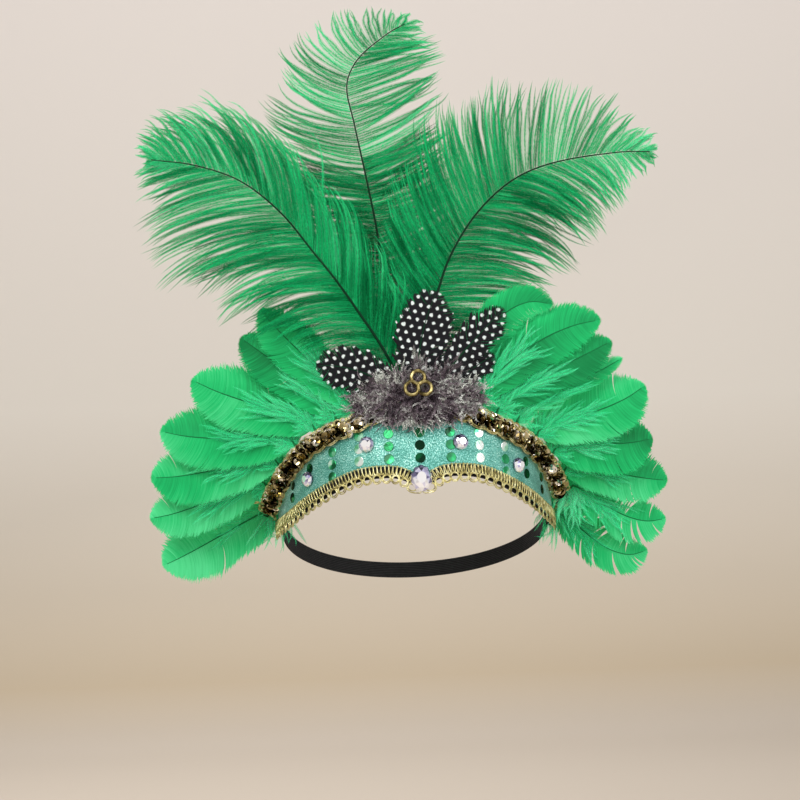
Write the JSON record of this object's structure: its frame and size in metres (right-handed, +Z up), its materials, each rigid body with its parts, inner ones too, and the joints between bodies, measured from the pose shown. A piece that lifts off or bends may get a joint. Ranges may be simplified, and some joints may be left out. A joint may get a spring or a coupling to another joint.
{
  "type": "feather headband",
  "caption": "Stage headband of dotted cloth with gold loop braid, sequin edges, cut stones, side fans of short feathers and tall curling plumes, held by an elastic strap.",
  "frame": {"origin": "middle of the head opening, level with the lowest point of the braid over the forehead", "axes": "+Z up towards the crown, the wearer looks along -Y, +X to the wearer's left"},
  "size_m": [0.3239, 0.2007, 0.3539],
  "materials": {
    "sea_green_cloth": "metallic knit with green foil dots",
    "black_backing": "matt felt",
    "black_elastic": "ribbed elastic",
    "gold_braid": "metallic gold thread",
    "antique_gold_sequins": "mirrored antique gold",
    "clear_stone": "cut, foil-backed",
    "plume_green": "soft dyed barbs",
    "fan_green": "smooth dyed vane with a satin sheen",
    "spotted_black": "black vane with white dots",
    "grey_down": "soft down"
  },
  "bodies": {
    "root": {"band_fabric": "sea_green_cloth", "band_backing": "black_backing", "elastic_strap": "black_elastic", "edge_braid": "gold_braid", "sequin_trim_left": "antique_gold_sequins", "sequin_trim_right": "antique_gold_sequins", "centre_stone": "clear_stone", "upper_stone_left": "clear_stone", "upper_stone_right": "clear_stone", "side_stone_left": "clear_stone", "side_stone_right": "clear_stone", "plume_left": "plume_green", "plume_centre": "plume_green", "plume_right": "plume_green", "fan_feather_left_1": "fan_green", "fan_feather_left_2": "fan_green", "fan_feather_left_3": "fan_green", "fan_feather_left_4": "fan_green", "fan_feather_left_5": "fan_green", "fan_feather_left_6": "fan_green", "fan_feather_left_7": "fan_green", "fan_feather_right_1": "fan_green", "fan_feather_right_2": "fan_green", "fan_feather_right_3": "fan_green", "fan_feather_right_4": "fan_green", "fan_feather_right_5": "fan_green", "fan_feather_right_6": "fan_green", "fan_feather_right_7": "fan_green", "fan_feather_right_8": "fan_green", "fan_feather_right_9": "fan_green", "guinea_feather_left": "spotted_black", "guinea_feather_centre": "spotted_black", "guinea_feather_right": "spotted_black", "guinea_feather_low_right": "spotted_black", "down_tuft": "grey_down", "braid_trefoil": "gold_braid"}
  },
  "joints": []
}
